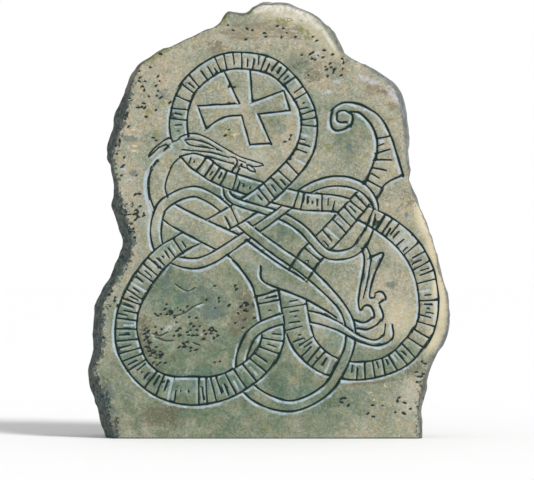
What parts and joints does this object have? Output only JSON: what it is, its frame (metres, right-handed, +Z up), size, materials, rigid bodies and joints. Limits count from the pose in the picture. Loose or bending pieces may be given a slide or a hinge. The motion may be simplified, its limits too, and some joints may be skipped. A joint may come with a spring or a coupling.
{
  "type": "rune stone",
  "caption": "Upright irregular granite slab whose dressed front is carved with interlaced rune bands, a serpent and a ringed cross; flat-cut base, rough back.",
  "frame": {"origin": "middle of the flat base, at ground level", "axes": "+Z up; the carved front looks along -Y; +X is to the right of someone facing the front"},
  "size_m": [1.5318, 0.4454, 1.8514],
  "materials": {
    "granite": "weathered, mottled grey-beige granite with lichen and moss"
  },
  "bodies": {
    "root": {"rune_stone": "granite"}
  },
  "joints": []
}
